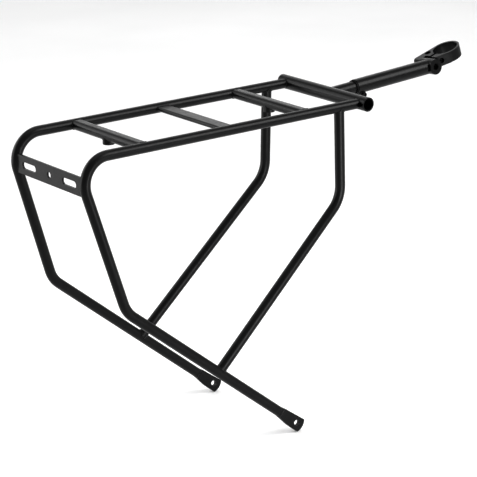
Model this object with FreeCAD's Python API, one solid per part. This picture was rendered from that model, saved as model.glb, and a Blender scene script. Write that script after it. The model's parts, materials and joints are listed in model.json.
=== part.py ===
import FreeCAD, Part
import math
import os

V = FreeCAD.Vector

# Rear luggage rack of bent round tube, with one telescopic stay to a seatpost collar.
# Frame: +X forwards (towards the seatpost), +Y to the left of the bicycle, +Z up.
# The origin is midway between the two dropout slots, at their lower ends. All sizes are in millimetres.

# ---- driving dimensions: tube frame ----
TUBE_R = 6.0                 # round tube of the side frames and the front legs
TUBE_BORE_R = 4.0
DECK_Z = 375.5               # height of the rail centre lines above the eyelets
RAIL_Y = 67.5                # rail centre line from the middle plane
SPLAY = 0.038                # the side frames widen by this much per unit of drop
REAR_X = -295.6              # where the rail line would meet the rear strut line
STRUT_FOOT_X = -239.1        # where the rear strut line would meet the lower tube line
STRUT_FOOT_Z = 193.6
REAR_BEND_R = 30.3
FOOT_BEND_R = 37.0
LEG_SPLAY = 0.034            # the same for the front legs
LEG_X = 76.2                 # vertical run of the front leg
LEG_KNEE_Z = 264.9
LEG_BEND_R = 38.0
LEG_FOOT_X = -113.4          # where the front leg meets the lower tube
LEG_FOOT_Z = 91.8

# ---- flattened dropout ends ----
TAB_THICK = 5.5
TAB_TIP = 9.2                # end of the tab beyond the middle of the screw hole
TAB_TIP_R = 13.0
TAB_FLARE = 35.0             # the tube starts to flatten this far before the screw hole
TAB_FACE = 30.0              # and is flat from here on
TAB_OUTLINE = (              # distance before the screw hole, height above and below it
    (TAB_FLARE + 1, 6.8, 6.9),
    (21.0, 6.9, 7.5),
    (14.0, 7.3, 8.4),
    (-TAB_TIP, 8.5, 8.5),
)
TAB_EDGE_SLOPE = 0.12        # the rounding of the long edges fades out along the tab
TAB_WIDE = 20.0              # half the width of the blank that the tab is cut from
TAB_ROOM = 1.0               # the blank is this much thicker than the tube at the flare
TAB_SEAM = 25.0              # turns the blank's seam away from the flat faces, in degrees
TAB_SLOT_LENGTH = 9.7        # the slot runs up the tab from the origin
TAB_SLOT_WIDTH = 6.5         # clearance for an M6 screw

# ---- deck ----
CROSSBAR_X = 111.5
CROSSBAR_R = 8.5
CROSSBAR_BORE_R = 7.0
CROSSBAR_HALF = 79.5
VENT_R = 2.8                 # vent hole in the outer corner of each rail and the crossbar
VENT_DEPTH = 5.0
SLAT_LENGTH_X = 16.0         # size of the oval slats along the rack
SLAT_HEIGHT = 11.0
REAR_SLAT_X = -205.0
MIDDLE_SLAT_X = -84.5
FRONT_SLAT_X = 26.0
FLAT_SLAT_LENGTH_X = 19.0
FLAT_SLAT_HEIGHT = 5.0
BOSS_OFFSET_X = -0.8
BOSS_R = 6.75
BOSS_HEIGHT = 4.0
BOSS_HOLE_R = 2.5            # tapping size of an M6 thread
BOSS_HOLE_DEPTH = 10.0

# ---- rear light plate, upright between the bends ----
PLATE_X = -285.3
PLATE_Z = 344.4
PLATE_HEIGHT = 21.6
PLATE_THICK = 2.4
PLATE_HALF = 63.0
PLATE_SLOT_SPACING = 80.0
PLATE_SLOT_LENGTH = 27.5
PLATE_SLOT_WIDTH = 8.0
PLATE_HOLE_R = 3.75

# ---- telescopic stay ----
STAY_PITCH = 3.46            # degrees above level
STAY_DROP = 3.7              # its axis passes this far below the crossbar centre
STAY_R = 7.75
STAY_BORE_R = 6.25
STAY_START = 4.5             # distances along the stay start at the crossbar centre
STAY_END = 117.0
PLUG_STEM = 10.0             # nylon plug in the front end of the stay
PLUG_CAP = 1.5
PLUG_CAP_R = 7.45
BUSH_R = 8.35
BUSH_BORE_R = 7.8
BUSH_LENGTH = 26.0
BUSH_FLANGE = 2.3            # black flange of the bush, behind the sleeve
BUSH_FLANGE_R = 8.9
BUSH_GAP = 0.3               # between the flange and the rear end of the sleeve
SLEEVE_R = 9.3
SLEEVE_BORE_R = 8.4
SLEEVE_START = 48.5
SLEEVE_END = 163.0
SLEEVE_ROLL = -5.6           # degrees that the sleeve is turned about the stay
LUG_MIDDLE = 57.3            # pinch lugs under the rear end of the sleeve
LUG_R = 3.5
LUG_BOLT_DROP = 11.0
LUG_GAP = 1.6
LUG_THICK = 4.6
LUG_BOLT_R = 1.5
LUG_BOLT_LENGTH = 14.0
LUG_HEAD_R = 2.75
LUG_HEAD_HEIGHT = 3.0
LUG_NUT_R = 3.2              # to its corners
LUG_NUT_HEIGHT = 2.4
LUG_KEY_R = 1.4              # key sockets are measured to their corners
SLIT_REACH = 14.0            # the slit runs this far in front of the lugs
SLIT_OVERRUN = 5.0

# ---- pivot at the front of the sleeve ----
PIVOT = 174.9
EYE_R = 9.8
EYE_HALF = 11.5
EYE_BORE_R = 3.5
SPIGOT = 18.0                # length of the eye's spigot inside the sleeve
EYE_BUSH_NEAR = 7.0          # lengths of the two bushes in the eye
EYE_BUSH_FAR = 8.0
EYE_SEAT_R = 4.1             # counterbore that takes the head of the pivot bolt
EYE_SEAT_DEPTH = 7.0
PIVOT_BOLT_R = 2.5
PIVOT_HEAD_R = 3.8
PIVOT_HEAD_DEPTH = 4.6       # the head lies this far inside the counterbore
PIVOT_KEY_R = 2.0
PIVOT_REACH = 3.5            # the shank runs this far past the barrel's width, into the arm
PIVOT_END_GAP = 0.3          # end play beside the head and the washer
WASHER_R = 7.0
WASHER_THICK = 0.9
PIVOT_FIT = 0.05             # running clearance of the pivot bolt in its bushes
POCKET_X = 164.8             # hollow on each side of the neck, behind the barrel
POCKET_HEIGHT = 9.0
POCKET_WIDTH = 2.2
POCKET_Y = 4.0

# ---- seatpost collar, in its own axes from the pivot ----
COLLAR_TILT = 17.0           # degrees that the collar leans back from square to the stay
COLLAR_X = 32.2
COLLAR_TOP = 8.7
COLLAR_HEIGHT = 14.2
COLLAR_TOP_R = 18.6
COLLAR_BOTTOM_R = 17.5
COLLAR_BORE_R = 15.85        # for a 31.6 mm seatpost
ARM_IN = EYE_HALF + PIVOT_END_GAP + WASHER_THICK   # inner face of the arm on the pivot bolt
ARM_R = 8.7                  # the arm is rounded about the pivot
EAR_X = 9.6                  # rear faces of the two ears
NEAR_EAR_X = 8.0
FAR_EAR_RING = (3.2, 18.1)   # where the far ear leaves the ring, from the ring's centre
FAR_EAR_CORNER = (1.5, 24.0) # outer corner of the arm, and a point on the curve from it to the tip
FAR_EAR_CURVE = (-5.6, 20.4)
FAR_EAR_INNER_Y = 2.0
NEAR_EAR_RING = (-9.5, -15.7)
NEAR_EAR_Y = (-6.9, 3.0)
BARREL_GAP = 0.4             # between the barrel and what turns around it
SLIT_ANGLE = 9.0             # the slit is skewed by this many degrees
SLIT_WIDTH = 4.0
NUT_X = 16.6                 # barrel nut of the pinch bolt
NUT_Y = 16.0
NUT_R = 4.0
NUT_DEPTH = 3.0              # its ends lie this far inside the ear
CLAMP_BOLT_ANGLE = 8.5
CLAMP_BOLT_R = 2.0
CLAMP_HOLE_R = 2.2
CLAMP_KEY_R = 1.7
CLAMP_BOLT_LENGTH = 22.5
CLAMP_HEAD_R = 3.0
CLAMP_HEAD_HEIGHT = 2.6
CLAMP_SEAT_R = 3.5
CLAMP_SEAT_Y = -4.6

FAR = 60.0                   # past any edge of the part being cut
HEAD_CHAMFER = 0.35          # on the rims of the screw heads
KEY_DEPTH = 0.55             # share of the head's height

X_AXIS = V(1, 0, 0)
Y_AXIS = V(0, 1, 0)
Z_AXIS = V(0, 0, 1)
SIDES = {"left": 1, "right": -1}


# ---- helpers ----
def side_point(x, z, side):
    """A point on the centre line of one side frame, which widens towards the bottom."""
    return V(x, side * (RAIL_Y + SPLAY * (DECK_Z - z)), z)


def cylinder(start, direction, length, radius):
    return Part.makeCylinder(radius, length, start, direction)


def ring(start, direction, length, radius, bore):
    outer = cylinder(start, direction, length, radius)
    return outer.cut(cylinder(start, direction, length, bore))


def bent_path(points, radii):
    """Straight runs through the points, joined by tangent arcs of the given radii."""
    edges = []
    start = points[0]
    for before, corner, after, radius in zip(points, points[1:], points[2:], radii):
        back = (before - corner).normalize()
        ahead = (after - corner).normalize()
        half = back.getAngle(ahead) / 2.0
        reach = radius / math.tan(half)
        middle = (back + ahead).normalize()
        centre = corner + middle * (radius / math.sin(half))
        arc_start = corner + back * reach
        arc_end = corner + ahead * reach
        edges.append(Part.LineSegment(start, arc_start).toShape())
        edges.append(Part.Arc(arc_start, centre - middle * radius, arc_end).toShape())
        start = arc_end
    edges.append(Part.LineSegment(start, points[-1]).toShape())
    return Part.Wire(edges)


def bar(path, radius):
    """A round bar along a path."""
    start = path.Edges[0]
    tangent = start.tangentAt(start.FirstParameter)
    circle = Part.Wire(Part.makeCircle(radius, start.valueAt(start.FirstParameter), tangent))
    return path.makePipeShell([circle], True, False)


def obround(centre, length_dir, height_dir, length, height, depth):
    """A prism with round ends, through centre, running depth along the third direction."""
    axis = length_dir.cross(height_dir).normalize()
    half = (length - height) / 2.0
    start = centre - axis * (depth / 2.0)
    low, high = height_dir * (-height / 2.0), height_dir * (height / 2.0)
    left, right = length_dir * -half, length_dir * half
    left_end, right_end = length_dir * (-length / 2.0), length_dir * (length / 2.0)
    edges = [
        Part.LineSegment(start + left + low, start + right + low).toShape(),
        Part.Arc(start + right + low, start + right_end, start + right + high).toShape(),
        Part.LineSegment(start + right + high, start + left + high).toShape(),
        Part.Arc(start + left + high, start + left_end, start + left + low).toShape(),
    ]
    return Part.Face(Part.Wire(edges)).extrude(axis * depth)


def prism(corners, depth):
    """A polygon through the corners, extruded by the vector depth."""
    return Part.Face(Part.makePolygon(corners + corners[:1])).extrude(depth)


def block(x0, x1, y0, y1, z0, z1):
    return Part.makeBox(x1 - x0, y1 - y0, z1 - z0, V(x0, y0, z0))


def placed(shape, origin, x_dir, y_dir, z_dir):
    """Moves a shape from local axes to the given origin and directions."""
    matrix = FreeCAD.Matrix(
        x_dir.x, y_dir.x, z_dir.x, origin.x,
        x_dir.y, y_dir.y, z_dir.y, origin.y,
        x_dir.z, y_dir.z, z_dir.z, origin.z,
        0, 0, 0, 1)
    moved = shape.copy()
    moved.Placement = FreeCAD.Placement(matrix).multiply(shape.Placement)
    return moved


def hexagon(corner_r, y):
    """A hexagon across the local Y axis."""
    corners = []
    for step in range(7):
        angle = math.radians(60.0 * step)
        corners.append(V(corner_r * math.cos(angle), y, corner_r * math.sin(angle)))
    return Part.makePolygon(corners)


def socket_screw(shank_r, length, head_r, head_height, key_r):
    """A screw along local +Y with its head below y = 0, and a hexagon key socket."""
    shank = cylinder(V(0, 0, 0), Y_AXIS, length, shank_r)
    head = cylinder(V(0, -head_height, 0), Y_AXIS, head_height, head_r)
    rim = max(head.Edges, key=lambda edge: -edge.CenterOfMass.y + edge.Length * 0.001)
    head = head.makeChamfer(HEAD_CHAMFER, [rim])
    key = Part.Face(hexagon(key_r, -head_height)).extrude(Y_AXIS * (head_height * KEY_DEPTH))
    return shank.fuse(head).cut(key)


# ---- side frames ----
def side_path(side):
    points = [
        V(CROSSBAR_X, side * RAIL_Y, DECK_Z),
        V(REAR_X, side * RAIL_Y, DECK_Z),
        side_point(STRUT_FOOT_X, STRUT_FOOT_Z, side),
        along_lower_tube(side, TAB_FLARE),
    ]
    return bent_path(points, [REAR_BEND_R, FOOT_BEND_R])


def lower_direction():
    """Direction of the lower tube in the side view, from its top to the eyelet."""
    return V(-STRUT_FOOT_X, 0, -STRUT_FOOT_Z).normalize()


def eyelet(side):
    return side_point(0, 0, side)


def along_lower_tube(side, distance):
    """A point on the centre line of the lower tube, this far from the eyelet."""
    foot = side_point(STRUT_FOOT_X, STRUT_FOOT_Z, side)
    return eyelet(side) + (foot - eyelet(side)).normalize() * distance


def dropout_end(side):
    """The lower end of the tube, pressed flat, with a rounded tip and a slot for the screw."""
    along = lower_direction()
    across = along.cross(Y_AXIS).normalize()
    hole = eyelet(side)
    round_end = along_lower_tube(side, TAB_FLARE)
    middle_y = round_end.y - hole.y
    wide = TAB_WIDE
    upper = [hole - along * before + across * above for before, above, below in TAB_OUTLINE]
    lower = [hole - along * before - across * below for before, above, below in TAB_OUTLINE]
    outline = [point - Y_AXIS * wide for point in upper + lower[::-1]]
    tab = prism(outline, Y_AXIS * (2 * wide))
    half = TAB_THICK / 2.0
    start_half = TUBE_R + TAB_ROOM
    profile = [
        (-TAB_FLARE - 1, middle_y + start_half), (-TAB_FACE, half), (TAB_TIP, half),
        (TAB_TIP, -half), (-TAB_FACE, -half), (-TAB_FLARE - 1, middle_y - start_half),
    ]
    profile = [hole + along * a + Y_AXIS * y - across * wide for a, y in profile]
    tab = tab.common(prism(profile, across * (2 * wide)))
    tube_direction = (hole - round_end).normalize()
    length = TAB_FLARE + TAB_TIP + 1
    end_r = TUBE_R + TAB_EDGE_SLOPE * length
    cone = Part.makeCone(TUBE_R, end_r, length, round_end, tube_direction)
    cone.rotate(round_end, tube_direction, TAB_SEAM)
    tab = tab.common(cone)
    tip_centre = hole + along * (TAB_TIP - TAB_TIP_R) - Y_AXIS * wide
    tip_circle = cylinder(tip_centre, Y_AXIS, 2 * wide, TAB_TIP_R)
    behind = placed(block(-FAR, 0, -wide, wide, -wide, wide), hole, along, Y_AXIS, across)
    tab = tab.common(tip_circle.fuse(behind))
    slot_middle = hole - along * ((TAB_SLOT_LENGTH - TAB_SLOT_WIDTH) / 2.0)
    return tab.cut(obround(slot_middle, along, across, TAB_SLOT_LENGTH, TAB_SLOT_WIDTH, 2 * wide))


def side_tube(side):
    path = side_path(side)
    tube = bar(path, TUBE_R).cut(bar(path, TUBE_BORE_R))
    tube = tube.cut(crossbar_solid()).cut(vent_hole(side))
    return biggest(tube.fuse(dropout_end(side)).removeSplitter())


def side_outline(side):
    """The side frame without its bore, for coping what is welded to it."""
    return bar(side_path(side), TUBE_R)


def front_leg(side):
    points = [V(x, side * (RAIL_Y + LEG_SPLAY * (DECK_Z - z)), z) for x, z in (
        (LEG_X, DECK_Z), (LEG_X, LEG_KNEE_Z), (LEG_FOOT_X, LEG_FOOT_Z))]
    path = bent_path(points, [LEG_BEND_R])
    leg = bar(path, TUBE_R).cut(bar(path, TUBE_BORE_R))
    leg = leg.cut(side_outline(side))
    return biggest(leg)


def biggest(shape):
    """The largest solid of a shape, without the slivers that a coping cut leaves."""
    return max(shape.Solids, key=lambda solid: solid.Volume)


# ---- deck ----
def crossbar_solid():
    return cylinder(V(CROSSBAR_X, -CROSSBAR_HALF, DECK_Z), Y_AXIS, 2 * CROSSBAR_HALF, CROSSBAR_R)


def vent_hole(side):
    """A hole drilled at 45 degrees into the corner of the rail and the crossbar."""
    inwards = V(1, -side, 0).normalize()
    corner = V(CROSSBAR_X - CROSSBAR_R, side * (RAIL_Y + TUBE_R), DECK_Z)
    return cylinder(corner - inwards * 15, inwards, 15 + VENT_DEPTH, VENT_R)


def crossbar():
    start = V(CROSSBAR_X, -CROSSBAR_HALF, DECK_Z)
    bar_solid = crossbar_solid().cut(cylinder(start, Y_AXIS, 2 * CROSSBAR_HALF, CROSSBAR_BORE_R))
    for side in SIDES.values():
        bar_solid = bar_solid.cut(vent_hole(side))
    return bar_solid


def slat(x, length, height):
    body = obround(V(x, 0, DECK_Z), X_AXIS, Z_AXIS, length, height, 2 * RAIL_Y)
    for side in SIDES.values():
        body = body.cut(side_outline(side))
    return biggest(body)


def boss_bottom(slat_x):
    return V(slat_x + BOSS_OFFSET_X, 0, DECK_Z - SLAT_HEIGHT / 2.0 - BOSS_HEIGHT)


def boss_hole(slat_x):
    """The blind threaded hole, which runs through the boss and into the slat."""
    return cylinder(boss_bottom(slat_x), Z_AXIS, BOSS_HOLE_DEPTH, BOSS_HOLE_R)


def boss(slat_x):
    body = cylinder(boss_bottom(slat_x), Z_AXIS, BOSS_HEIGHT + SLAT_HEIGHT / 2.0, BOSS_R)
    body = body.cut(obround(V(slat_x, 0, DECK_Z), X_AXIS, Z_AXIS, SLAT_LENGTH_X, SLAT_HEIGHT, 60))
    below = min(body.Solids, key=lambda solid: solid.CenterOfMass.z)
    return below.cut(boss_hole(slat_x))


def light_plate():
    middle = V(PLATE_X, 0, PLATE_Z)
    plate = block(-PLATE_THICK / 2.0, PLATE_THICK / 2.0, -PLATE_HALF, PLATE_HALF,
                  -PLATE_HEIGHT / 2.0, PLATE_HEIGHT / 2.0)
    plate.translate(middle)
    for y in (-PLATE_SLOT_SPACING / 2.0, PLATE_SLOT_SPACING / 2.0):
        slot_middle = middle + Y_AXIS * y
        plate = plate.cut(obround(slot_middle, Y_AXIS, Z_AXIS, PLATE_SLOT_LENGTH, PLATE_SLOT_WIDTH, 20))
    plate = plate.cut(cylinder(middle - X_AXIS * 10, X_AXIS, 20, PLATE_HOLE_R))
    for side in SIDES.values():
        plate = plate.cut(side_outline(side))
    return biggest(plate)


# ---- stay: local x along the stay, local y across, local z up ----
STAY_DIR = V(math.cos(math.radians(STAY_PITCH)), 0, math.sin(math.radians(STAY_PITCH)))
STAY_UP = V(-STAY_DIR.z, 0, STAY_DIR.x)
STAY_ORIGIN = V(CROSSBAR_X, 0, DECK_Z - STAY_DROP)
ROLL = math.radians(SLEEVE_ROLL)
SLEEVE_ACROSS = Y_AXIS * math.cos(ROLL) + STAY_UP * math.sin(ROLL)
SLEEVE_UP = STAY_UP * math.cos(ROLL) - Y_AXIS * math.sin(ROLL)
TILT = math.radians(COLLAR_TILT)
COLLAR_FRONT = STAY_DIR * math.cos(TILT) + SLEEVE_UP * math.sin(TILT)
COLLAR_AXIS = SLEEVE_UP * math.cos(TILT) - STAY_DIR * math.sin(TILT)
PIVOT_POINT = STAY_ORIGIN + STAY_DIR * PIVOT


def on_stay(shape):
    return placed(shape, STAY_ORIGIN, STAY_DIR, Y_AXIS, STAY_UP)


def on_sleeve(shape):
    return placed(shape, STAY_ORIGIN, STAY_DIR, SLEEVE_ACROSS, SLEEVE_UP)


def on_collar(shape):
    return placed(shape, PIVOT_POINT, COLLAR_FRONT, SLEEVE_ACROSS, COLLAR_AXIS)


def stay_tube():
    tube = ring(V(STAY_START, 0, 0), X_AXIS, STAY_END - STAY_START, STAY_R, STAY_BORE_R)
    return front_part(on_stay(tube).cut(crossbar_solid()))


def front_part(shape):
    return max(shape.Solids, key=lambda solid: solid.CenterOfMass.x)


def stay_plug():
    stem = cylinder(V(STAY_END - PLUG_STEM, 0, 0), X_AXIS, PLUG_STEM, STAY_BORE_R)
    cap = cylinder(V(STAY_END, 0, 0), X_AXIS, PLUG_CAP, PLUG_CAP_R)
    return on_stay(stem.fuse(cap))


def lug_slit(depth):
    """The slit along the underside of the sleeve, which lets the lugs draw it tight."""
    half = LUG_GAP / 2.0
    return block(SLEEVE_START - SLIT_OVERRUN, SLEEVE_START + depth, -half, half, -FAR, 0)


def stay_bush():
    rear = SLEEVE_START - BUSH_GAP - BUSH_FLANGE
    length = BUSH_LENGTH + BUSH_GAP + BUSH_FLANGE
    bush = cylinder(V(rear, 0, 0), X_AXIS, length, BUSH_R)
    bush = bush.fuse(cylinder(V(rear, 0, 0), X_AXIS, BUSH_FLANGE, BUSH_FLANGE_R))
    bush = bush.cut(cylinder(V(rear, 0, 0), X_AXIS, length, BUSH_BORE_R))
    return on_sleeve(bush.cut(lug_slit(BUSH_LENGTH + 1)))


def stay_sleeve():
    length = SLEEVE_END - SLEEVE_START
    sleeve = ring(V(SLEEVE_START, 0, 0), X_AXIS, length, SLEEVE_R, SLEEVE_BORE_R)
    return on_sleeve(sleeve.cut(lug_slit(LUG_MIDDLE - SLEEVE_START + SLIT_REACH)))


def sleeve_lugs():
    """Two rounded lugs welded under the slit sleeve, one on each side of the slit."""
    drop = V(LUG_MIDDLE, 0, -LUG_BOLT_DROP)
    lugs = []
    for low in (-LUG_GAP / 2.0 - LUG_THICK, LUG_GAP / 2.0):
        foot = block(LUG_MIDDLE - LUG_R, LUG_MIDDLE + LUG_R, low, low + LUG_THICK, -LUG_BOLT_DROP, 0)
        lug = foot.fuse(cylinder(drop + Y_AXIS * low, Y_AXIS, LUG_THICK, LUG_R))
        lug = lug.cut(cylinder(V(0, 0, 0), X_AXIS, SLEEVE_END, SLEEVE_R))
        lug = lug.cut(cylinder(drop - Y_AXIS * FAR, Y_AXIS, 2 * FAR, LUG_BOLT_R))
        lugs.append(on_sleeve(lug.removeSplitter()))
    return Part.makeCompound(lugs)


def sleeve_pinch_bolt():
    screw = socket_screw(LUG_BOLT_R, LUG_BOLT_LENGTH, LUG_HEAD_R, LUG_HEAD_HEIGHT, LUG_KEY_R)
    screw.translate(V(LUG_MIDDLE, -LUG_GAP / 2.0 - LUG_THICK, -LUG_BOLT_DROP))
    return on_sleeve(screw)


def sleeve_pinch_nut():
    start = LUG_GAP / 2.0 + LUG_THICK
    nut = Part.Face(hexagon(LUG_NUT_R, start)).extrude(Y_AXIS * LUG_NUT_HEIGHT)
    nut = nut.cut(cylinder(V(0, 0, 0), Y_AXIS, FAR, LUG_BOLT_R))
    nut.translate(V(LUG_MIDDLE, 0, -LUG_BOLT_DROP))
    return on_sleeve(nut)


def sleeve_eye():
    """The fitting in the front of the sleeve: a spigot, a hollowed neck and a cross barrel."""
    spigot = cylinder(V(SLEEVE_END - SPIGOT, 0, 0), X_AXIS, SPIGOT, SLEEVE_BORE_R)
    neck = cylinder(V(SLEEVE_END, 0, 0), X_AXIS, PIVOT - SLEEVE_END, SLEEVE_R)
    barrel = cylinder(V(PIVOT, -EYE_HALF, 0), Y_AXIS, 2 * EYE_HALF, EYE_R)
    eye = spigot.fuse(neck).fuse(barrel)
    for y in (-POCKET_Y - EYE_HALF, POCKET_Y + EYE_HALF):
        hollow = obround(V(POCKET_X, y, 0), Z_AXIS, X_AXIS, POCKET_HEIGHT, POCKET_WIDTH, 2 * EYE_HALF)
        eye = eye.cut(hollow)
    eye = eye.cut(cylinder(V(PIVOT, -EYE_HALF, 0), Y_AXIS, 2 * EYE_HALF, EYE_BORE_R))
    eye = eye.cut(cylinder(V(PIVOT, -EYE_HALF, 0), Y_AXIS, EYE_SEAT_DEPTH, EYE_SEAT_R))
    return on_sleeve(eye.removeSplitter())


def eye_bushes():
    bore = PIVOT_BOLT_R + PIVOT_FIT
    near = ring(V(PIVOT, -EYE_HALF + EYE_SEAT_DEPTH, 0), Y_AXIS, EYE_BUSH_NEAR, EYE_BORE_R, bore)
    far = ring(V(PIVOT, EYE_HALF - EYE_BUSH_FAR, 0), Y_AXIS, EYE_BUSH_FAR, EYE_BORE_R, bore)
    return {"eye_bush_near": on_sleeve(near), "eye_bush_far": on_sleeve(far)}


def pivot_bolt():
    head_height = EYE_SEAT_DEPTH - PIVOT_END_GAP - PIVOT_HEAD_DEPTH
    length = 2 * EYE_HALF + PIVOT_REACH
    screw = socket_screw(PIVOT_BOLT_R, length, PIVOT_HEAD_R, head_height, PIVOT_KEY_R)
    screw.translate(V(0, -EYE_HALF + EYE_SEAT_DEPTH - PIVOT_END_GAP, 0))
    return on_collar(screw)


def pivot_washer():
    start = V(0, EYE_HALF + PIVOT_END_GAP, 0)
    return on_collar(ring(start, Y_AXIS, WASHER_THICK, WASHER_R, PIVOT_BOLT_R))


def far_ear(bottom):
    """The far ear with the barrel nut, which runs back as an arm to the pivot."""
    ring_point = V(COLLAR_X + FAR_EAR_RING[0], FAR_EAR_RING[1], bottom)
    outer_corner = V(*FAR_EAR_CORNER, bottom)
    tip = V(-ARM_R, ARM_IN, bottom)
    elbow = V(EAR_X, ARM_IN, bottom)
    inner = V(EAR_X, FAR_EAR_INNER_Y, bottom)
    centre = V(COLLAR_X, 0, bottom)
    edges = [
        Part.LineSegment(ring_point, outer_corner).toShape(),
        Part.Arc(outer_corner, V(*FAR_EAR_CURVE, bottom), tip).toShape(),
        Part.LineSegment(tip, elbow).toShape(),
        Part.LineSegment(elbow, inner).toShape(),
        Part.LineSegment(inner, centre).toShape(),
        Part.LineSegment(centre, ring_point).toShape(),
    ]
    plan = Part.Face(Part.Wire(edges))
    ear = plan.extrude(V(0, 0, COLLAR_HEIGHT))
    deep = plan.copy()
    deep.translate(V(0, 0, -ARM_R))
    deep = deep.extrude(V(0, 0, COLLAR_HEIGHT + 2 * ARM_R))
    round_eye = deep.common(cylinder(V(0, 0, 0), Y_AXIS, FAR, ARM_R))
    return ear.common(block(0, FAR, -FAR, FAR, bottom, COLLAR_TOP)).fuse(round_eye)


def near_ear(bottom):
    """The near ear, which takes the head of the pinch bolt."""
    corners = [
        V(COLLAR_X + NEAR_EAR_RING[0], NEAR_EAR_RING[1], bottom),
        V(NEAR_EAR_X, NEAR_EAR_Y[0], bottom),
        V(NEAR_EAR_X, NEAR_EAR_Y[1], bottom),
        V(COLLAR_X, 0, bottom),
    ]
    return prism(corners, V(0, 0, COLLAR_HEIGHT))


def seatpost_collar():
    """Split ring with two ears, closed by a pinch bolt."""
    bottom = COLLAR_TOP - COLLAR_HEIGHT
    foot = V(COLLAR_X, 0, bottom)
    hoop = Part.makeCone(COLLAR_BOTTOM_R, COLLAR_TOP_R, COLLAR_HEIGHT, foot, Z_AXIS)
    collar = hoop.fuse(far_ear(bottom)).fuse(near_ear(bottom))
    collar = collar.cut(cylinder(V(COLLAR_X, 0, -FAR), Z_AXIS, 2 * FAR, COLLAR_BORE_R))
    angle = math.radians(SLIT_ANGLE)
    slit_dir = V(-math.cos(angle), math.sin(angle), 0)
    slit_side = V(-slit_dir.y, slit_dir.x, 0)
    slit = block(0, FAR, -SLIT_WIDTH / 2.0, SLIT_WIDTH / 2.0, -FAR, FAR)
    collar = collar.cut(placed(slit, V(COLLAR_X, 0, 0), slit_dir, slit_side, Z_AXIS))
    collar = collar.cut(cylinder(V(0, -FAR, 0), Y_AXIS, FAR + ARM_IN, EYE_R + BARREL_GAP))
    collar = collar.cut(cylinder(V(0, 0, 0), Y_AXIS, FAR, PIVOT_BOLT_R))
    collar = collar.cut(cylinder(V(NUT_X, NUT_Y, -FAR), Z_AXIS, 2 * FAR, NUT_R))
    start, direction = clamp_bolt_line()
    collar = collar.cut(cylinder(start, direction, FAR, CLAMP_HOLE_R))
    collar = collar.cut(cylinder(start - direction * FAR, direction, FAR, CLAMP_SEAT_R))
    return on_collar(biggest(collar.removeSplitter()))


def clamp_bolt_line():
    """Where the head of the pinch bolt seats, and the direction of the bolt."""
    angle = math.radians(CLAMP_BOLT_ANGLE)
    direction = V(math.sin(angle), math.cos(angle), 0)
    nut = V(NUT_X, NUT_Y, COLLAR_TOP - COLLAR_HEIGHT / 2.0)
    return nut - direction * ((NUT_Y - CLAMP_SEAT_Y) / direction.y), direction


def collar_bolt():
    start, direction = clamp_bolt_line()
    screw = socket_screw(CLAMP_BOLT_R, CLAMP_BOLT_LENGTH, CLAMP_HEAD_R, CLAMP_HEAD_HEIGHT, CLAMP_KEY_R)
    across = direction.cross(Z_AXIS)
    return on_collar(placed(screw, start, across, direction, Z_AXIS))


def collar_barrel_nut():
    start, direction = clamp_bolt_line()
    bottom = COLLAR_TOP - COLLAR_HEIGHT + NUT_DEPTH
    nut = cylinder(V(NUT_X, NUT_Y, bottom), Z_AXIS, COLLAR_HEIGHT - 2 * NUT_DEPTH, NUT_R)
    return on_collar(nut.cut(cylinder(start, direction, FAR, CLAMP_BOLT_R)))


def build():
    nodes = {}
    for name, side in SIDES.items():
        nodes["side_tube_" + name] = side_tube(side)
        nodes["front_leg_" + name] = front_leg(side)
    nodes["crossbar"] = crossbar()
    nodes["rear_slat"] = slat(REAR_SLAT_X, SLAT_LENGTH_X, SLAT_HEIGHT).cut(boss_hole(REAR_SLAT_X))
    nodes["middle_slat"] = slat(MIDDLE_SLAT_X, FLAT_SLAT_LENGTH_X, FLAT_SLAT_HEIGHT)
    nodes["front_slat"] = slat(FRONT_SLAT_X, SLAT_LENGTH_X, SLAT_HEIGHT).cut(boss_hole(FRONT_SLAT_X))
    nodes["rear_boss"] = boss(REAR_SLAT_X)
    nodes["front_boss"] = boss(FRONT_SLAT_X)
    nodes["light_plate"] = light_plate()
    nodes["stay_tube"] = stay_tube()
    nodes["stay_plug"] = stay_plug()
    nodes["stay_bush"] = stay_bush()
    nodes["stay_sleeve"] = stay_sleeve()
    nodes["sleeve_lugs"] = sleeve_lugs()
    nodes["sleeve_pinch_bolt"] = sleeve_pinch_bolt()
    nodes["sleeve_pinch_nut"] = sleeve_pinch_nut()
    nodes["sleeve_eye"] = sleeve_eye()
    nodes.update(eye_bushes())
    nodes["pivot_bolt"] = pivot_bolt()
    nodes["pivot_washer"] = pivot_washer()
    nodes["seatpost_collar"] = seatpost_collar()
    nodes["collar_bolt"] = collar_bolt()
    nodes["collar_barrel_nut"] = collar_barrel_nut()
    return nodes


os.makedirs("parts", exist_ok=True)
for node, shape in build().items():
    print(node, "volume", round(shape.Volume), "solids", len(shape.Solids), "valid", shape.isValid())
    shape.exportStep("parts/" + node + ".step")
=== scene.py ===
import json
import math
import bmesh
import bpy
from mathutils import Matrix, Vector
from mathutils.bvhtree import BVHTree


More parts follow.
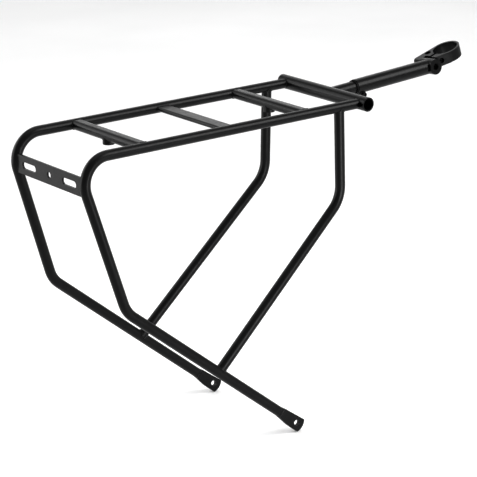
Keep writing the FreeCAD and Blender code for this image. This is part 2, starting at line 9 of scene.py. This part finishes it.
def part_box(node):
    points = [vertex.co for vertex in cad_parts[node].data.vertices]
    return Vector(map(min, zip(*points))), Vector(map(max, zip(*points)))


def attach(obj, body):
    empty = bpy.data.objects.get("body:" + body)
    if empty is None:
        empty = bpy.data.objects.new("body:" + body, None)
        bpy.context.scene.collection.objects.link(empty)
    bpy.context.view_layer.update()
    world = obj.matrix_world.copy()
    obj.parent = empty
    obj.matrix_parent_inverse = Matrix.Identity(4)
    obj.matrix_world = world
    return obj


# Rear bicycle rack in satin black powder coat. The CAD nodes carry every shape and size.
# This script gives them their finishes, adds the weld beads, and sets up the camera and studio.
# Metres, +X forwards, +Y to the left of the bicycle, +Z up.
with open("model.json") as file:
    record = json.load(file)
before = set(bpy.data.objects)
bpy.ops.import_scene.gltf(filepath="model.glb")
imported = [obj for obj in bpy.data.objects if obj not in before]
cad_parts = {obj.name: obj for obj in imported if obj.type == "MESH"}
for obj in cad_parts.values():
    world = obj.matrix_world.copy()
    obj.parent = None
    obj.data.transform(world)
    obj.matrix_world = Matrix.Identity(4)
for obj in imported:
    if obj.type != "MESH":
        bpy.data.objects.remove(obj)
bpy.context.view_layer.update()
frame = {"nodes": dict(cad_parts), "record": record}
NODES = frame["nodes"]

MM = 0.001
TINY = 1e-12
X_AXIS = Vector((1, 0, 0))
Y_AXIS = Vector((0, 1, 0))
Z_AXIS = Vector((0, 0, 1))

# ---- sizes that repeat the CAD's, for placing the weld beads ----
SIDES = {"left": 1.0, "right": -1.0}
TUBE_R = 6.0 * MM
DECK_Z = 375.5 * MM
RAIL_Y = 67.5 * MM
CROSSBAR_X = 111.5 * MM
LEG_SPLAY = 0.034            # metres outwards for each metre down
LEG_X = 76.2 * MM
LEG_KNEE_Z = 264.9 * MM
LEG_FOOT = (-113.4 * MM, 91.8 * MM)          # x and z, on the lower tube
OVAL_SIZE = (16.0 * MM, 11.0 * MM)
FLAT_SIZE = (19.0 * MM, 5.0 * MM)
SLATS = {                                    # x, and width by height
    "rear_slat": (-205.0 * MM, OVAL_SIZE),
    "middle_slat": (-84.5 * MM, FLAT_SIZE),
    "front_slat": (26.0 * MM, OVAL_SIZE),
}
BOSSES = {                                   # x, and the slat above
    "rear_boss": (-205.8 * MM, "rear_slat"),
    "front_boss": (25.2 * MM, "front_slat"),
}
BOSS_R = 6.75 * MM
PLATE = (-285.3 * MM, 344.4 * MM)            # x and z
PLATE_SIZE = (2.4 * MM, 21.6 * MM)
STAY_PITCH = math.radians(3.46)
STAY_DROP = 3.7 * MM
STAY_R = 7.75 * MM
STAY_DIR = Vector((math.cos(STAY_PITCH), 0, math.sin(STAY_PITCH)))
STAY_UP = Vector((-STAY_DIR.z, 0, STAY_DIR.x))
STAY_ORIGIN = Vector((CROSSBAR_X, 0, DECK_Z - STAY_DROP))

# ---- materials ----
NOISE_RANGE = (0.3, 0.7)     # where nearly all of a noise texture's values lie


class Nodes:
    """Short calls for building one node material."""

    def __init__(self, name):
        self.material = bpy.data.materials.new(name)
        self.material.use_nodes = True
        self.tree = self.material.node_tree
        self.shader = self.tree.nodes["Principled BSDF"]
        self.point = self.tree.nodes.new("ShaderNodeTexCoord").outputs["Object"]

    def new(self, kind, **inputs):
        """A node with these inputs, each linked when it is a socket and set when it is a value."""
        node = self.tree.nodes.new(kind)
        for name, value in inputs.items():
            socket = node.inputs[name.replace("_", " ")]
            if isinstance(value, bpy.types.NodeSocket):
                self.tree.links.new(value, socket)
            else:
                socket.default_value = value
        return node

    def noise(self, scale, detail=2.0):
        """Noise with this many features to the metre."""
        node = self.new("ShaderNodeTexNoise", Vector=self.point, Scale=scale, Detail=detail)
        return node.outputs["Fac"]

    def cells(self, scale):
        node = self.new("ShaderNodeTexVoronoi", Vector=self.point, Scale=scale)
        return node.outputs["Distance"]

    def spread(self, fac, low, high):
        start, end = NOISE_RANGE
        node = self.new("ShaderNodeMapRange", Value=fac, From_Min=start, From_Max=end,
                        To_Min=low, To_Max=high)
        return node.outputs["Result"]

    def colours(self, fac, low, high):
        node = self.new("ShaderNodeValToRGB", Fac=fac)
        first, last = node.color_ramp.elements
        first.position, last.position = NOISE_RANGE
        first.color, last.color = (*low, 1.0), (*high, 1.0)
        return node.outputs["Color"]

    def bump(self, height, strength, distance, **below):
        """A bump, on top of the one given as Normal."""
        node = self.new("ShaderNodeBump", Height=height, Strength=strength, Distance=distance,
                        **below)
        return node.outputs["Normal"]

    def finish(self, colour, roughness, normal, **sockets):
        self.tree.links.new(colour, self.shader.inputs["Base Color"])
        self.tree.links.new(roughness, self.shader.inputs["Roughness"])
        self.tree.links.new(normal, self.shader.inputs["Normal"])
        for name, value in sockets.items():
            self.shader.inputs[name.replace("_", " ")].default_value = value
        return self.material


def powder_coat():
    """Satin black powder coat: a fine orange peel, faint specks and slow changes of gloss."""
    n = Nodes("satin_black_powder_coat")
    tone = n.noise(scale=60.0, detail=4.0)
    colour = n.colours(tone, low=(0.006, 0.006, 0.0063), high=(0.010, 0.010, 0.0104))
    roughness = n.spread(n.noise(scale=260.0, detail=3.0), low=0.28, high=0.36)
    peel = n.bump(n.noise(scale=1400.0), strength=0.35, distance=0.10 * MM)
    specks = n.bump(n.cells(scale=2600.0), strength=0.18, distance=0.05 * MM, Normal=peel)
    return n.finish(colour, roughness, specks, IOR=1.45, Specular_IOR_Level=0.35)


def nylon():
    """Moulded black nylon: duller than the paint, with a fine spark-eroded grain."""
    n = Nodes("black_moulded_nylon")
    tone = n.noise(scale=140.0, detail=3.0)
    colour = n.colours(tone, low=(0.003, 0.003, 0.0032), high=(0.006, 0.006, 0.0063))
    roughness = n.spread(n.noise(scale=500.0), low=0.5, high=0.62)
    grain = n.bump(n.cells(scale=3200.0), strength=0.3, distance=0.06 * MM)
    return n.finish(colour, roughness, grain, IOR=1.5, Specular_IOR_Level=0.2)


def black_steel():
    """Blackened steel fasteners: a thin oxide over fine turned and forged marks."""
    n = Nodes("black_oxide_steel")
    tone = n.noise(scale=300.0, detail=4.0)
    colour = n.colours(tone, low=(0.004, 0.004, 0.0043), high=(0.009, 0.009, 0.0096))
    roughness = n.spread(n.noise(scale=700.0, detail=3.0), low=0.3, high=0.44)
    marks = n.bump(n.noise(scale=2800.0, detail=3.0), strength=0.25, distance=0.06 * MM)
    return n.finish(colour, roughness, marks, IOR=1.6, Specular_IOR_Level=0.3)


FINISHES = {
    "black_powder_coat": powder_coat(),
    "black_nylon": nylon(),
    "black_steel": black_steel(),
}
SLOT_OF_NODE = {part["node"]: part["material_slot"] for part in frame["record"]["subparts"]}

for name, node in NODES.items():
    finish = FINISHES[SLOT_OF_NODE[name]]
    for slot in node.material_slots:
        slot.material = finish
    if not node.material_slots:
        node.data.materials.append(finish)

# ---- weld beads ----
# A bar's outline is cast along the bar onto the piece that it meets. The bead is swept along
# the points that the casts land on.
BEAD_R = 0.75 * MM
SMALL_BEAD_R = 0.6 * MM      # on the light plate and the bosses
STAY_BEAD_R = 1.6 * MM
BEAD_LIFT = 0.15 * MM        # how far a BEAD_R bead's middle stands out of the corner
BEAD_HEIGHT = 0.8            # of its width
RIPPLE = 0.16                # each ripple runs from this share under the radius to this share over
RIPPLE_PITCH = 1.2 * MM
FEWEST_RIPPLES = 4
END_SIZE = 0.35              # share of the radius that a bead starts and stops at
END_TAPER = 1.2 * MM         # distance over which an end grows by one radius
STEP = 0.25 * MM             # spacing of the rings along a bead
FEWEST_RINGS = 8
RING_POINTS = 10
SHORTEST_RUN = 5             # casts in a row that make a bead

OUTLINE_CASTS = 96
PLATE_CASTS = 64
RAIL_SHRINK = 0.995          # tubes are cast a little inside their skin, so that no cast misses
LEG_SHRINK = 0.985

# how far the casts start from the middle of the piece that they land on
SLAT_BACK = 14 * MM
RAIL_BACK = 20 * MM
LEG_BACK = 22 * MM
BOSS_BACK = 20 * MM
STAY_BACK = 26 * MM
PLATE_START_Y = 55 * MM      # the plate's casts start this far from the middle of the rack
REACH = 30 * MM              # how far a cast goes
LONG_REACH = 40 * MM         # the same for the legs and the stay


def surface_of(name):
    mesh = NODES[name].data
    mesh.calc_loop_triangles()
    points = [v.co.copy() for v in mesh.vertices]
    return BVHTree.FromPolygons(points, [tuple(t.vertices) for t in mesh.loop_triangles])


def oval(width, height):
    """Points and outward directions round a bar with half-round edges, wider than it is high."""
    r = height / 2.0
    flat = width / 2.0 - r
    outline = []
    for i in range(OUTLINE_CASTS):
        a = 2 * math.pi * i / OUTLINE_CASTS
        c, s = math.cos(a), math.sin(a)
        outline.append((c * r + (flat if c >= 0 else -flat), s * r, c, s))
    return outline


def circle(radius):
    turns = [2 * math.pi * i / OUTLINE_CASTS for i in range(OUTLINE_CASTS)]
    return [(radius * math.cos(a), radius * math.sin(a), math.cos(a), math.sin(a)) for a in turns]


def rectangle(width, height):
    """Points and outward directions round a plain rectangle, at even angles from its middle."""
    outline = []
    for i in range(PLATE_CASTS):
        a = 2 * math.pi * (i + 0.5) / PLATE_CASTS
        c, s = math.cos(a), math.sin(a)
        to_side = width / 2.0 / max(abs(c), TINY)
        to_top = height / 2.0 / max(abs(s), TINY)
        t = min(to_side, to_top)
        if to_side <= to_top:
            outline.append((c * t, s * t, math.copysign(1, c), 0.0))
        else:
            outline.append((c * t, s * t, 0.0, math.copysign(1, s)))
    return outline


def corner_line(onto, middle, heading, u_axis, v_axis, outline, reach):
    """Where a bar's outline, moved along heading, meets the surface of the node called onto:
    points and their outward directions, with None where a cast meets nothing."""
    surface = surface_of(onto)
    found = []
    for u, v, out_u, out_v in outline:
        start = middle + u_axis * u + v_axis * v
        hit, normal, _, _ = surface.ray_cast(start, heading, reach)
        if hit is None:
            found.append(None)
            continue
        out = (u_axis * out_u + v_axis * out_v).normalized()
        found.append((hit, (out + normal).normalized()))
    return found


def runs_of(found):
    """The unbroken stretches of a corner line, and whether each closes on itself."""
    if all(found):
        return [(found, True)]
    first_gap = found.index(None)
    turned = found[first_gap:] + found[:first_gap]
    runs, run = [], []
    for item in turned + [None]:
        if item is None:
            if len(run) >= SHORTEST_RUN:
                runs.append((run, False))
            run = []
        else:
            run.append(item)
    return runs


def even(line, closed):
    """The same line with its points STEP apart, each with its distance along, and the length."""
    items = line + [line[0]] if closed else line
    lengths = [0.0]
    for (a, _), (b, _) in zip(items, items[1:]):
        lengths.append(lengths[-1] + (b - a).length)
    count = max(FEWEST_RINGS, round(lengths[-1] / STEP))
    result, k = [], 0
    for i in range(count if closed else count + 1):
        at = lengths[-1] * i / count
        while k < len(lengths) - 2 and lengths[k + 1] < at:
            k += 1
        t = (at - lengths[k]) / max(lengths[k + 1] - lengths[k], TINY)
        (a, na), (b, nb) = items[k], items[k + 1]
        result.append((a.lerp(b, t), na.lerp(nb, t).normalized(), at))
    return result, lengths[-1]


def add_bead(mesh, line, closed, radius):
    """Sweeps a rippled round section along one run of a corner line."""
    points, length = even(line, closed)
    ripples = max(FEWEST_RIPPLES, round(length / RIPPLE_PITCH))
    rings = []
    for i, (point, out, at) in enumerate(points):
        before = points[i - 1][0] if i or closed else point
        after = points[(i + 1) % len(points)][0] if i + 1 < len(points) or closed else point
        along = (after - before).normalized()
        out = (out - along * out.dot(along)).normalized()
        side = along.cross(out)
        phase = (at / length * ripples) % 1.0
        hump = math.sqrt(max(0.0, 1.0 - (2 * phase - 1) ** 2))
        r = radius * (1.0 - RIPPLE + RIPPLE * hump * 2)
        if not closed:
            r *= min(1.0, END_SIZE + min(at, length - at) / END_TAPER)
        middle = point + out * (BEAD_LIFT * radius / BEAD_R)
        ring = []
        for k in range(RING_POINTS):
            a = 2 * math.pi * k / RING_POINTS
            across = out * math.cos(a) * BEAD_HEIGHT + side * math.sin(a)
            ring.append(mesh.verts.new(middle + across * r))
        rings.append(ring)
    pairs = list(zip(rings, rings[1:] + rings[:1])) if closed else list(zip(rings, rings[1:]))
    for one, two in pairs:
        for k in range(RING_POINTS):
            j = (k + 1) % RING_POINTS
            mesh.faces.new((one[k], one[j], two[j], two[k]))
    if not closed:
        mesh.faces.new(rings[0][::-1])
        mesh.faces.new(rings[-1])


def weld(name, body, lines, radius=BEAD_R):
    """One piece holding the beads of all these corner lines."""
    mesh = bmesh.new()
    for found in lines:
        for run, closed in runs_of(found):
            add_bead(mesh, run, closed, radius)
    bmesh.ops.recalc_face_normals(mesh, faces=mesh.faces)
    data = bpy.data.meshes.new(name)
    mesh.to_mesh(data)
    mesh.free()
    for polygon in data.polygons:
        polygon.use_smooth = True
    piece = bpy.data.objects.new(name, data)
    bpy.context.scene.collection.objects.link(piece)
    data.materials.append(FINISHES["black_powder_coat"])
    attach(piece, body)


def slat_welds():
    for slat, (x, size) in SLATS.items():
        lines = []
        for side, sign in SIDES.items():
            middle = Vector((x, sign * (RAIL_Y - SLAT_BACK), DECK_Z))
            lines.append(corner_line(f"side_tube_{side}", middle, Y_AXIS * sign, X_AXIS, Z_AXIS,
                                     oval(*size), REACH))
        weld(f"weld_{slat}", "frame", lines)


def leg_point(sign, x, z):
    """A point on the plane of one side frame, which leans outwards as it goes down."""
    return Vector((x, sign * (RAIL_Y + LEG_SPLAY * (DECK_Z - z)), z))


def frame_welds():
    for side, sign in SIDES.items():
        # These casts stop at the crossbar's axis, so that none goes through the vent hole and
        # lands inside the bore.
        rail = Vector((CROSSBAR_X - RAIL_BACK, sign * RAIL_Y, DECK_Z))
        ends = corner_line("crossbar", rail, X_AXIS, Y_AXIS, Z_AXIS,
                           circle(TUBE_R * RAIL_SHRINK), RAIL_BACK)
        weld(f"weld_rail_{side}", "frame", [ends])

        knee = leg_point(sign, LEG_X, LEG_KNEE_Z)
        lines = []
        for end in (leg_point(sign, LEG_X, DECK_Z), leg_point(sign, *LEG_FOOT)):
            towards = (end - knee).normalized()
            u_axis = towards.orthogonal().normalized()
            v_axis = towards.cross(u_axis)
            lines.append(corner_line(f"side_tube_{side}", end - towards * LEG_BACK, towards,
                                     u_axis, v_axis, circle(TUBE_R * LEG_SHRINK), LONG_REACH))
        weld(f"weld_leg_{side}", "frame", lines)


def plate_welds():
    lines = []
    x, z = PLATE
    for side, sign in SIDES.items():
        middle = Vector((x, sign * PLATE_START_Y, z))
        lines.append(corner_line(f"side_tube_{side}", middle, Y_AXIS * sign, X_AXIS, Z_AXIS,
                                 rectangle(*PLATE_SIZE), REACH))
    weld("weld_light_plate", "frame", lines, SMALL_BEAD_R)


def boss_welds():
    for boss, (x, slat) in BOSSES.items():
        middle = Vector((x, 0, DECK_Z - BOSS_BACK))
        line = corner_line(slat, middle, Z_AXIS, X_AXIS, Y_AXIS, circle(BOSS_R), REACH)
        weld(f"weld_{boss}", "frame", [line], SMALL_BEAD_R)


def stay_weld():
    middle = STAY_ORIGIN + STAY_DIR * STAY_BACK
    line = corner_line("crossbar", middle, -STAY_DIR, Y_AXIS, STAY_UP, circle(STAY_R), LONG_REACH)
    weld("weld_stay", "frame", [line], STAY_BEAD_R)


slat_welds()
frame_welds()
plate_welds()
boss_welds()
stay_weld()

# ---- camera, as recovered from the photo ----
AZIMUTH = math.radians(-38.149)
ELEVATION = math.radians(17.830)
ROLL = math.radians(-0.406)
TARGET = Vector((115.444, 175.322, 145.491)) * MM
DISTANCE = 2.6278
SENSOR = 36.0
IMAGE_SIDE = 477.0
FOCAL_PIXELS = 2003.85
NEAREST, FARTHEST = 0.05, 60.0


def camera():
    flat = math.cos(ELEVATION)
    back = Vector((math.sin(AZIMUTH) * flat, -math.cos(AZIMUTH) * flat, math.sin(ELEVATION)))
    right = Vector((math.cos(AZIMUTH), math.sin(AZIMUTH), 0))
    up = back.cross(right)
    rolled_right = right * math.cos(ROLL) + up * math.sin(ROLL)
    rolled_up = up * math.cos(ROLL) - right * math.sin(ROLL)
    data = bpy.data.cameras.new("camera")
    data.sensor_width = SENSOR
    data.lens = FOCAL_PIXELS / IMAGE_SIDE * SENSOR
    data.clip_start, data.clip_end = NEAREST, FARTHEST
    item = bpy.data.objects.new("camera", data)
    bpy.context.scene.collection.objects.link(item)
    turn = Matrix((rolled_right, rolled_up, back)).transposed().to_4x4()
    item.matrix_world = Matrix.Translation(TARGET + back * DISTANCE) @ turn
    bpy.context.scene.camera = item


# ---- studio ----
FLOOR_HALF = 12.0
FLOOR_GAP = 0.5 * MM         # between the floor and the lowest point of the rack
RACK = Vector((0.02, 0.0, 0.2))              # about the middle of the rack
WIDE = 180.0                                 # a plain soft box; less sends its light forwards

# name, place, aim, width and height, radiance, spread in degrees
SOFT_BOXES = (
    ("side_wall", (0.03, -0.85, 0.20), (0.0, 0.0, 0.20), (0.55, 0.38), 1.25, 70.0),
    ("left_wall", (-0.75, 0.60, 0.36), (0.0, 0.0, 0.30), (0.8, 0.7), 0.7, 80.0),
    ("left_box", (-0.70, 1.25, 0.95), (0.0, 0.0, 0.35), (1.1, 0.9), 0.75, 90.0),
    ("front_box", (1.35, -1.35, 1.40), RACK, (1.2, 1.2), 3.3, WIDE),
    ("overhead", (0.0, 0.15, 2.7), RACK, (2.0, 2.0), 1.3, WIDE),
    ("back", (1.5, 1.9, 1.9), RACK, (2.4, 1.4), 1.3, WIDE),
    ("back_strip", (1.15, 1.45, 0.62), (0.0, 0.0, 0.36), (1.9, 0.36), 0.22, 60.0),
)
SUN_FROM = (0.588, -0.62, 0.60)
SUN_SPREAD = 40.0                            # degrees, so its shadows are soft
SUN_STRENGTH = 1.2
WORLD_STRENGTH = 0.54
GAMMA = 0.69                                 # matches the photo's contrast


def floor():
    lowest = min(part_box(name)[0].z for name in NODES)
    mesh = bmesh.new()
    bmesh.ops.create_grid(mesh, x_segments=2, y_segments=2, size=FLOOR_HALF)
    data = bpy.data.meshes.new("floor")
    mesh.to_mesh(data)
    mesh.free()
    item = bpy.data.objects.new("floor", data)
    bpy.context.scene.collection.objects.link(item)
    item.location = (0, 0, lowest - FLOOR_GAP)
    n = Nodes("pale_floor")
    tone = n.noise(scale=3.0, detail=3.0)
    colour = n.colours(tone, low=(0.90, 0.90, 0.90), high=(0.93, 0.93, 0.93))
    roughness = n.spread(n.noise(scale=40.0), low=0.75, high=0.85)
    grain = n.bump(n.noise(scale=300.0), strength=0.05, distance=0.2 * MM)
    data.materials.append(n.finish(colour, roughness, grain, Specular_IOR_Level=0.1))


def aimed_light(name, kind, place, aim):
    """A light at a place, facing aim."""
    data = bpy.data.lights.new(name, kind)
    item = bpy.data.objects.new(name, data)
    bpy.context.scene.collection.objects.link(item)
    item.location = place
    item.rotation_euler = (Vector(aim) - Vector(place)).to_track_quat("-Z", "Y").to_euler()
    return item


def soft_box(name, place, aim, size, radiance, spread):
    """A box that lights and reflects but isn't seen itself, this bright over its whole face."""
    item = aimed_light(name, "AREA", place, aim)
    item.visible_camera = False
    width, height = size
    item.data.shape = "RECTANGLE"
    item.data.size, item.data.size_y = width, height
    item.data.energy = radiance * math.pi * width * height
    item.data.spread = math.radians(spread)


def studio():
    world = bpy.data.worlds.new("studio")
    bpy.context.scene.world = world
    world.use_nodes = True
    background = world.node_tree.nodes["Background"]
    background.inputs["Color"].default_value = (1, 1, 1, 1)
    background.inputs["Strength"].default_value = WORLD_STRENGTH
    for box in SOFT_BOXES:
        soft_box(*box)
    sun = aimed_light("sun", "SUN", SUN_FROM, (0.0, 0.0, 0.0))
    sun.data.angle = math.radians(SUN_SPREAD)
    sun.data.energy = SUN_STRENGTH
    settings = bpy.context.scene.view_settings
    settings.view_transform = "Standard"
    settings.look = "None"
    settings.gamma = GAMMA


camera()
floor()
studio()
